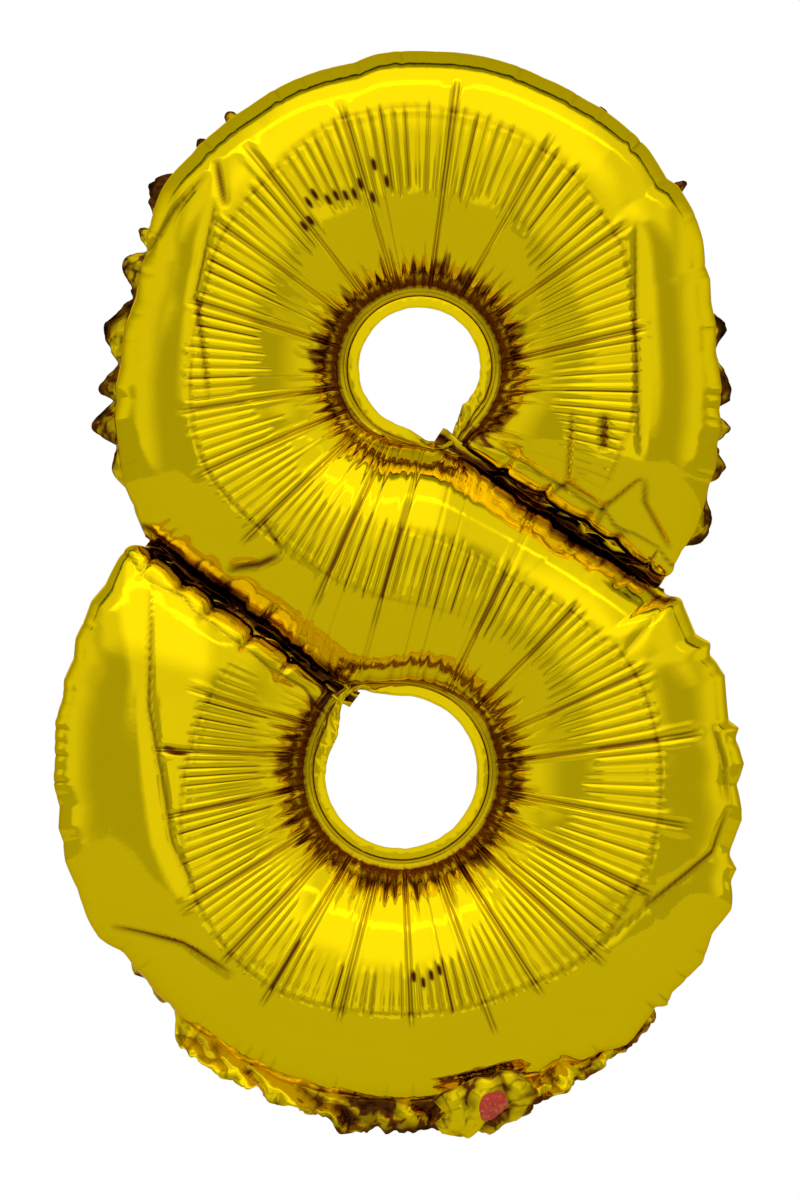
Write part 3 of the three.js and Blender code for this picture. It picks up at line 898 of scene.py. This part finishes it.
def foil_sheet(side, sign, seed, wander):
    """One inflated sheet, as two pieces. The sign is -1 for the front and 1 for the back."""
    plan, height = smooth_tube()
    y = sign * height
    plan, y = shape_rims(plan, y)
    points = np.stack([plan.real, y, plan.imag], axis=-1)
    normals = grid_normals(points)
    normals *= np.sign(normals[..., 1].sum() * sign)
    # the pleats' offsets with their painted shade, then the kinks' and the valley walls' painted shade
    offsets, fold_shade = pleat_offsets(seed)
    kinks, kink_shade = kink_offsets(plan, wander, seed)
    inner = smooth(height / 4)
    crumple, crumple_shade = crumpled_walls(plan, y, seed + 3)
    points = points + normals * ((offsets + kinks) * inner + crumple * smooth(height / 2))[..., None]
    fold_shade += kink_shade + crumple_shade
    points = to_frame(points[..., 0] + 1j * points[..., 2], points[..., 1])
    split = int(strip.pleats[:SPLIT_CREASE].sum()) * PLEAT_STEPS
    for part, columns in (("upper", slice(0, split + 1)), ("lower", slice(split, COLUMNS))):
        some = points[columns]
        faces = grid_faces(len(some), ROWS + 1, flip=sign < 0)
        sheet = new_object(f"{side}_sheet_{part}", some, faces, gold_foil)
        store_fold_shade(sheet, fold_shade[columns])
        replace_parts(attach(sheet, "balloon"), f"{side}_foil")


# ---------------- seams
MARGIN_ROWS = 13
MARGIN_STEP = 0.8
MARGIN_UNDER = 0.6  # how far a margin reaches in under the sheets


def outer_margin(name, loop, pucker, seed):
    """The flat welded margin outside a loop's weld, leaning back in tabs or folded forward, and crumpled."""
    noise = Noise(seed)
    columns = int(abs(loop.end - loop.start) * loop.outer / MARGIN_STEP)
    angle = np.linspace(loop.start, loop.end, columns)[:, None]
    out = np.linspace(0, 1, MARGIN_ROWS)
    tab = pucker.arch(angle, 1.7) * pucker.tab[pucker.between(angle)[1]]
    width, lean, brown_shade, toothed = pucker.margin_at(angle, tab)
    radial, behind = pucker.weld(angle)
    width = width * (0.45 + 0.55 * pucker.calm(angle)) * (1 - toothed * 0.6 * (1 - tab**0.8))
    lean = np.radians(lean)
    loose = 1.9 - 0.7 * toothed
    arc = angle * loop.outer
    across = out * width
    crumple = noise.crumple(arc / 5.4, across / 3.8)
    ripple = noise.crumple(arc / 3.1 + 50, across / 4)
    reach = radial - MARGIN_UNDER + across * np.cos(lean) + 0.8 * loose * ripple * out
    y = behind + across * np.sin(lean) + loose * crumple * out**0.5
    plan = loop.outline(angle) + reach * np.exp(1j * angle)
    obj = new_object(name, to_frame(plan, y), grid_faces(columns, MARGIN_ROWS), folded_foil)
    # painted shade on the margin: brown by its lean, along crease lines and crumples, darker towards its
    # outer edge
    lines = noise.creases(arc / 6 + 20, across / 5, 0.1)
    rim = 0.7 * smooth((out - 0.8) / 0.2)
    store_fold_shade(obj, brown_shade * (0.7 + 0.6 * lines + rim) + 0.8 * crumple + 0.25 * lines)
    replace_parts(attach(thicken(obj, FILM), "balloon"), "outer_seam")


RING_COLUMNS = 520
RING_ROWS = 18


def hole_ring(name, node, loop, partition_at, seed):
    """The flat welded ring inside a hole: drawn out at the partition, and crumpled beside it."""
    noise = Noise(seed)
    angle = np.linspace(0, TAU, RING_COLUMNS, endpoint=False)[:, None]
    inwards = np.linspace(0, 1, RING_ROWS)
    away = np.angle(np.exp(1j * (angle - partition_at)))
    near = bell(away, 0.30)
    rough = bell(away - 0.42, 0.42)
    width = SEAM_WIDTH + 0.15 * noise(angle * 9, 0 * angle) - 2.6 * near + 1.2 * rough
    crumple = noise.crumple(angle * loop.hole / 3.2, inwards * 1.9)
    mess = np.maximum(near, 0.75 * rough)
    draw = hole_draw(loop, partition_at, angle)
    radius = loop.hole + MARGIN_UNDER + draw - width * inwards + 0.8 * mess * crumple
    tilt = -0.75 * inwards - 0.15 * np.sin(np.pi * inwards)
    groove = 0.35 * bell(inwards - 0.2, 0.05) + 0.18 * bell(inwards - 0.93, 0.04)
    y = tilt + groove + 0.05 * noise(angle * 14, inwards * 3) + 1.5 * mess * crumple * inwards
    plan = loop.centre + radius * np.exp(1j * angle)
    obj = new_object(name, to_frame(plan, y), grid_faces(RING_COLUMNS, RING_ROWS, closed=True), gold_foil)
    # painted shade in the ring's grooves, along its part next to the sheet, and on its crumpled part
    lines = 0.3 * bell(inwards - 0.2, 0.06) + 0.25 * bell(inwards - 0.97, 0.04)
    lines += 0.4 * smooth((0.34 - inwards) / 0.1)
    store_fold_shade(obj, lines + mess * (0.35 + 0.5 * crumple), 1.0)
    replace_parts(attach(thicken(obj, WELD_FILM), "balloon"), node)


BAND_COLUMNS = 300
BAND_ROWS = 25


def partition_band(name, node, start, end, seed):
    """The crumpled weld in the valley between a tube's end and the diagonal."""
    noise = Noise(seed)
    length = abs(end - start)
    unit = (end - start) / length
    along = np.linspace(-1.5, length + 0.5, BAND_COLUMNS)[:, None]
    out = np.linspace(-1, 1, BAND_ROWS)
    crumple = noise.facets(along / 4.5, out * 1.2)
    shift = noise.facets(along / 7 + 40, out * 0.3)
    y = 1.3 * crumple * (1 - 0.5 * abs(out))
    plan = start + unit * along + 1j * unit * (out * (PARTITION_HALF + 0.9) + 0.8 * shift)
    obj = new_object(name, to_frame(plan, y), grid_faces(BAND_COLUMNS, BAND_ROWS), folded_foil)
    # painted shade, darkest along the weld's middle
    store_fold_shade(obj, 0.6 + 0.6 * crumple + 0.9 * bell(out, 0.3))
    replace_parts(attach(thicken(obj, FILM), "balloon"), node)


# ---------------- tail
TAIL_AT = np.radians(-75.7)
TAIL_OUT = np.array([np.cos(TAIL_AT), 0, np.sin(TAIL_AT)])  # away from the lower loop
TAIL_ACROSS = np.array([-np.sin(TAIL_AT), 0, np.cos(TAIL_AT)])
FRONT = np.array([0.0, -1.0, 0.0])
TAIL_HALF_WIDTH = 13.0
TAIL_LENGTH = 24.0
TAIL_CLOSING = 15.0  # how far from its end the tail begins to close
TAIL_FOLD = np.radians(118)
HINGE_OUT = 8.2  # from the weld
BEND = 2.4  # radius of the fold
TAIL_CURL = np.radians(52)  # back towards the balloon
CURL_FROM = 9.0
CURL_LENGTH = 15.0


def tail_turn(gone):
    """The tail's turn out of the seam's plane, at distances past the hinge."""
    curl = TAIL_CURL * smooth((gone - CURL_FROM) / CURL_LENGTH)
    return np.clip(gone / BEND + TAIL_FOLD / 2, 0, TAIL_FOLD) + curl


def tail_frame(gone):
    """The middle line and its upper face's normal, by distances along the neck and the folded tail."""
    hinge = LOWER.outer + HINGE_OUT
    turn = tail_turn(gone)
    fine = np.linspace(-60, 60, 2401)
    fine_turn = tail_turn(fine)
    step = fine[1] - fine[0]
    out = np.cumsum(np.cos(fine_turn)) * step
    front = np.cumsum(np.sin(fine_turn)) * step
    middle = np.argmin(abs(fine))
    out = np.interp(gone, fine, out - out[middle])
    front = np.interp(gone, fine, front - front[middle])
    place = (hinge + out)[..., None] * TAIL_OUT + front[..., None] * FRONT
    normal = np.cos(turn)[..., None] * FRONT - np.sin(turn)[..., None] * TAIL_OUT
    return place, normal


tail_noise = Noise(71)


def crumple_place(around, gone):
    """Where the tail's crumpling is read from its noise: apart for its two faces."""
    return np.cos(around) * 2.6 + 3, gone / 6 + np.sign(np.sin(around)) * 11


def tail_surface(around, gone):
    """Points of the crumpled tail's sleeve in the layout, round its flat section and along it."""
    end = np.clip((gone - TAIL_LENGTH + TAIL_CLOSING) / TAIL_CLOSING, 0, 1) ** 1.3
    ragged = 2.4 * tail_noise.facets(np.cos(around) * 2.2 + 40, 0 * gone + 3) + 2.6 * abs(np.cos(around)) ** 3
    place, normal = tail_frame(gone - ragged * end)
    root = smooth((-gone - 2) / 7)
    crumple = tail_noise.crumple(*crumple_place(around, gone))
    edge = tail_noise.facets(np.sign(np.cos(around)) * 5 + 0 * gone, gone / 5)
    half_width = TAIL_HALF_WIDTH * (1 + 0.1 * root) + 2.4 * edge * smooth(gone / 4) + 2.6 * smooth(gone / 12)
    side = np.sin(around)
    thickness = 2.4 + np.where(side < 0, 3.4, 0.2) * smooth(gone / 9)
    height = (thickness * (1 - end) + 0.1) * np.sign(side) * abs(side) ** 0.6
    across = half_width * np.cos(around)
    point = place + across[..., None] * TAIL_ACROSS
    bump = 3.0 * crumple * abs(side) ** 0.4 * (1 - end)
    return point + (height + bump * np.sign(side))[..., None] * normal


def layout_to_frame(points):
    return to_frame(points[..., 0] + 1j * points[..., 2] + LOWER.centre, points[..., 1])


SLEEVE_COLUMNS = 110
SLEEVE_ROWS = 96
NECK_LENGTH = 11.0  # from the hinge in between the sheets


def tail_sleeve():
    """The neck and the folded tail: one crumpled sleeve across the hinge."""
    around = np.linspace(0, TAU, SLEEVE_COLUMNS, endpoint=False)[:, None]
    gone = np.linspace(-NECK_LENGTH, TAIL_LENGTH, SLEEVE_ROWS)
    around, gone = np.broadcast_arrays(around, gone)
    points = layout_to_frame(tail_surface(around, gone))
    faces = grid_faces(SLEEVE_COLUMNS, SLEEVE_ROWS, closed=True)
    obj = new_object("tail_sleeve", points, faces, folded_foil)
    across, along = crumple_place(around, gone)
    # painted shade on the sleeve: along crease lines, with the crumples, at its folded edges, at both ends
    # and on one side
    lines = tail_noise.creases(across * 0.8 + 30, gone / 6 * 1.1, 0.11)
    edge = 1 - abs(np.sin(around)) ** 0.5
    ends_shade = 0.5 * smooth((gone - TAIL_LENGTH + 1.2) / 0.8) + 0.5 * smooth((10 - gone) / 4)
    side = 0.5 * smooth((across - 4.4) / 0.8)
    fold_shade = 0.6 * lines - 0.8 * tail_noise.crumple(across, along) + 0.5 * edge + ends_shade + side
    shown = smooth(0.5 - 3 * np.sin(around))  # painted shade only on the face that shows; the other face, mirrored in the sheet above the tail, stays unshaded gold
    store_fold_shade(obj, fold_shade * shown, 1.5)
    thicken(obj, FILM)
    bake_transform(obj)
    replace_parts(obj, "neck_front_foil", "neck_back_foil", "tail_front_foil", "tail_back_foil")
    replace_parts(obj, "tail_left_seam", "tail_right_seam")


FILM_HALF_WIDTH = 7.5


def tail_film():
    """The outer end of the valve's two clear films, which lie together inside the tail."""
    gone = np.linspace(5, TAIL_LENGTH - 5, 40)
    gone, out = np.meshgrid(gone, np.linspace(-1, 1, 12), indexing="ij")
    place, normal = tail_frame(gone)
    lift = 0.25 * tail_noise(out * 2 + 40, gone / 5)
    points = place + (FILM_HALF_WIDTH * out)[..., None] * TAIL_ACROSS + lift[..., None] * normal
    obj = new_object("tail_film", layout_to_frame(points), grid_faces(40, 12), valve_film)
    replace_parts(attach(thicken(obj, VALVE_FILM), "tail"), "valve_outer_front_film", "valve_outer_back_film")


MARK_AT = (2.0, 16.0)  # across the tail and along it
MARK_RADIUS = 3.9
MARK_LIFT = 0.35


def red_mark():
    """A printed spot with a ragged outline, on the face of the tail that shows from the front."""
    turn = np.linspace(0, TAU, 60, endpoint=False)
    turn, out = np.meshgrid(turn, np.linspace(0.02, 1, 12), indexing="ij")
    radius = MARK_RADIUS * (1 + 0.28 * tail_noise(np.cos(turn) * 1.4 + 8, np.sin(turn) * 1.4 + 8))
    across = MARK_AT[0] + out * radius * np.cos(turn)
    gone = MARK_AT[1] + out * radius * np.sin(turn)
    around = -np.arccos(np.clip(across / TAIL_HALF_WIDTH, -1, 1))
    points = tail_surface(around, gone)
    points -= MARK_LIFT * tail_frame(gone)[1]
    obj = new_object("red_mark", layout_to_frame(points), grid_faces(60, 12, closed=True), red_ink)
    thicken(obj, INK)
    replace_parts(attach(obj, "tail"), "inflation_mark")


# ---------------- materials
class Nodes:
    """Short calls that add and join shader nodes."""

    def __init__(self, tree):
        self.tree = tree

    def fill(self, node, inputs):
        for key, value in inputs.items():
            if isinstance(value, bpy.types.NodeSocket):
                self.tree.links.new(value, node.inputs[key])
            else:
                node.inputs[key].default_value = value

    def add(self, kind, inputs=None, **settings):
        node = self.tree.nodes.new(kind)
        for key, value in settings.items():
            setattr(node, key, value)
        self.fill(node, inputs or {})
        return node

    def cloud(self, scale, detail):
        """Noise over the object's own space, from 0 to 1."""
        place = self.add("ShaderNodeTexCoord").outputs["Object"]
        inputs = {"Vector": place, "Scale": scale, "Detail": detail}
        return self.add("ShaderNodeTexNoise", inputs).outputs["Fac"]

    def math(self, operation, a, b=0.0, clamp=False):
        return self.add("ShaderNodeMath", {0: a, 1: b}, operation=operation, use_clamp=clamp).outputs[0]

    def ramp(self, value, low, high):
        """0 below low and 1 above high, with a soft step between."""
        node = self.add(
            "ShaderNodeMapRange",
            {"Value": value, "From Min": low, "From Max": high, "To Min": 0.0, "To Max": 1.0},
            interpolation_type="SMOOTHSTEP",
        )
        return node.outputs["Result"]

    def mix_colour(self, factor, a, b):
        node = self.add("ShaderNodeMix", data_type="RGBA")
        sockets = {socket.identifier: k for k, socket in enumerate(node.inputs)}
        names = ("Factor_Float", "A_Color", "B_Color")
        self.fill(node, {sockets[name]: value for name, value in zip(names, (factor, a, b))})
        return next(s for s in node.outputs if s.identifier == "Result_Color")


GOLD = (1.0, 0.75, 0.002, 1)
# the painted brown shade in folds
FOLD_SHADE_BROWN = (0.15, 0.045, 0.004, 1)
SHADOW = (0.012, 0.006, 0.002, 1)  # down in the tightest folds
EDGE_TINT = (0.9, 0.7, 0.2, 1)  # of the mirror at a glancing angle


def new_material(name):
    material = bpy.data.materials.new(name)
    material.use_nodes = True
    return material, Nodes(material.node_tree), material.node_tree.nodes["Principled BSDF"]


def foil_material(name, roughness, wrinkle):
    material, nodes, shader = new_material(name)
    cloud = nodes.cloud(35.0, 3.0)
    fine = nodes.cloud(420.0, 4.0)
    fold_shade = nodes.add("ShaderNodeAttribute", attribute_name="fold_shade").outputs["Fac"]
    # The base colour paints shade: gold turns to a painted brown shade, then a painted black shadow, with the
    # stored painted-shade attribute; the noise adds a little random tone.
    shade_and_tone = nodes.math("ADD", fold_shade, nodes.math("MULTIPLY", cloud, 0.05), clamp=True)
    shade = nodes.math("SUBTRACT", fold_shade, 1.0, clamp=True)
    colour = nodes.mix_colour(shade, nodes.mix_colour(shade_and_tone, GOLD, FOLD_SHADE_BROWN), SHADOW)
    rough = nodes.math("ADD", nodes.math("MULTIPLY", fine, roughness), roughness * 0.6)
    bump = nodes.add("ShaderNodeBump", {"Height": fine, "Strength": wrinkle, "Distance": 0.0004})
    nodes.fill(shader, {"Base Color": colour, "Roughness": rough, "Normal": bump.outputs["Normal"]})
    nodes.fill(shader, {"Metallic": 1.0, "Specular Tint": EDGE_TINT})
    return material


gold_foil = foil_material("gold foil", 0.06, 0.05)
folded_foil = foil_material("folded foil", 0.1, 0.2)


def ink_material():
    material, nodes, shader = new_material("red ink")
    worn = nodes.ramp(nodes.cloud(700.0, 3.0), 0.5, 0.72)
    colour = nodes.mix_colour(worn, (0.62, 0.035, 0.015, 1), (0.75, 0.22, 0.03, 1))
    rough = nodes.math("ADD", nodes.math("MULTIPLY", worn, 0.15), 0.3)
    nodes.fill(shader, {"Base Color": colour, "Roughness": rough})
    return material


def film_material():
    """Clear valve film, thin and a little cloudy."""
    material, nodes, shader = new_material("valve film")
    cloud = nodes.cloud(240.0, 3.0)
    colour = nodes.mix_colour(cloud, (0.84, 0.87, 0.86, 1), (0.93, 0.94, 0.93, 1))
    rough = nodes.math("ADD", nodes.math("MULTIPLY", cloud, 0.2), 0.1)
    nodes.fill(shader, {"Base Color": colour, "Roughness": rough, "Alpha": 0.5})
    return material


red_ink = ink_material()
valve_film = film_material()


# ---------------- assembly
foil_sheet("front", -1, 11, 0.0)
foil_sheet("back", 1, 12, 5.0)
outer_margin("upper_margin", UPPER, upper_pucker, 25)
outer_margin("lower_margin", LOWER, lower_pucker, 26)
hole_ring("upper_hole_ring", "upper_hole_seam", UPPER, UPPER_PARTITION_AT, 36)
hole_ring("lower_hole_ring", "lower_hole_seam", LOWER, LOWER_PARTITION_AT, 37)
partition_band("upper_partition_band", "upper_partition_seam", *PARTITIONS[0], 45)
partition_band("lower_partition_band", "lower_partition_seam", *PARTITIONS[1], 46)
tail_sleeve()
tail_film()
red_mark()
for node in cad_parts:
    if node.startswith("valve_inner"):
        piece = bpy.data.objects[node]
        piece.data.materials.clear()
        piece.data.materials.append(valve_film)


# ---------------- studio
BASE_LIGHT = 0.40
# Light boxes and dark gaps round the object: from and to in pitch, up from the front and over to the back,
# with the softness of both edges, then the same to either side, in degrees, and what each adds to the light.
STUDIO = [
    ((4, 79, 5, 2), (-1, 30, 1, 7), 0.34),  # the big soft box, from eye level to overhead
    ((26, 79, 9, 2), (-1, 54, 1, 7), 0.34),  # its upper part, which is wider
    ((-19, 4, 4, 5), (-1, 17, 1, 4), 0.36),  # its glow below the camera
    ((55, 59, 2, 2), (-1, 40, 1, 8), 0.7),  # a lamp tube in it
    ((81, 86, 1, 1), (-1, 62, 1, 8), -0.14),  # the gap behind it
    ((86, 91, 1, 1), (-1, 66, 1, 6), -0.37),  # its dark frame
    ((-30, 180, 8, 1), (60, 84, 12, 6), 0.28),  # a pale wall on either side
    ((136, 172, 8, 2), (-1, 34, 1, 8), 0.34),  # a second soft box, behind the object
]


def studio_world():
    """A white background for the camera, and a studio for the foil to mirror."""
    world = bpy.data.worlds.new("studio")
    bpy.context.scene.world = world
    world.use_nodes = True
    tree = world.node_tree
    tree.nodes.clear()
    nodes = Nodes(tree)
    direction = nodes.add("ShaderNodeTexCoord").outputs["Generated"]
    axes = nodes.add("ShaderNodeSeparateXYZ", {"Vector": direction}).outputs
    degrees = 180 / np.pi
    towards = nodes.math("MULTIPLY", axes["Y"], -1.0)
    pitch = nodes.math("MULTIPLY", nodes.math("ARCTAN2", axes["Z"], towards), degrees)
    side = nodes.math("ABSOLUTE", nodes.math("MULTIPLY", nodes.math("ARCSINE", axes["X"]), degrees))

    def box(value, low, high, fade_low, fade_high):
        rising = nodes.ramp(value, low - fade_low, low + fade_low)
        falling = nodes.math("SUBTRACT", 1.0, nodes.ramp(value, high - fade_high, high + fade_high))
        return nodes.math("MULTIPLY", rising, falling)

    light = BASE_LIGHT
    for pitch_box, side_box, amount in STUDIO:
        mask = nodes.math("MULTIPLY", box(pitch, *pitch_box), box(side, *side_box))
        light = nodes.math("ADD", light, nodes.math("MULTIPLY", mask, amount))
    light = nodes.math("MAXIMUM", light, 0.01)
    camera_ray = nodes.add("ShaderNodeLightPath").outputs["Is Camera Ray"]
    seen = nodes.add("ShaderNodeBackground", {"Color": (1, 1, 1, 1), "Strength": 1.0})
    studio = nodes.add("ShaderNodeBackground", {"Color": (1, 1, 1, 1), "Strength": light})
    choice = nodes.add("ShaderNodeMixShader", {0: camera_ray, 1: studio.outputs[0], 2: seen.outputs[0]})
    nodes.add("ShaderNodeOutputWorld", {"Surface": choice.outputs[0]})


FLOOR_DROP = 0.25  # metres, below the balloon
FLOOR_SIZE = 1.5


def pale_floor():
    low, high = cad_box
    height = low.z - FLOOR_DROP
    middle = (low + high) / 2
    signs = ((-1, -1), (1, -1), (1, 1), (-1, 1))
    corners = [(sx * FLOOR_SIZE + middle.x, sy * FLOOR_SIZE, height) for sx, sy in signs]
    material, nodes, shader = new_material("pale floor")
    colour = nodes.mix_colour(nodes.cloud(8.0, 2.0), (0.78, 0.78, 0.77, 1), (0.82, 0.82, 0.81, 1))
    nodes.fill(shader, {"Base Color": colour, "Roughness": 0.7})
    floor = new_object("floor", np.array(corners), np.array([[0, 1, 2, 3]]), material, shade=False)


CAMERA_DISTANCE = 2.0  # metres
VIEW_HEIGHT = 0.3855  # what the frame shows of the figure's plane
SENSOR = 36
VIEW_CENTRE = -0.3 - 2.4j  # the frame's middle in the layout


def camera():
    data = bpy.data.cameras.new("camera")
    data.sensor_width = SENSOR
    data.lens = SENSOR * CAMERA_DISTANCE / VIEW_HEIGHT
    obj = bpy.data.objects.new("camera", data)
    bpy.context.collection.objects.link(obj)
    middle = to_frame(np.array(VIEW_CENTRE), 0.0)
    obj.location = (middle[0], middle[1] - CAMERA_DISTANCE, middle[2])
    obj.rotation_euler = (np.pi / 2, 0, 0)
    bpy.context.scene.camera = obj


studio_world()
pale_floor()
camera()
bpy.context.scene.view_settings.view_transform = "Standard"
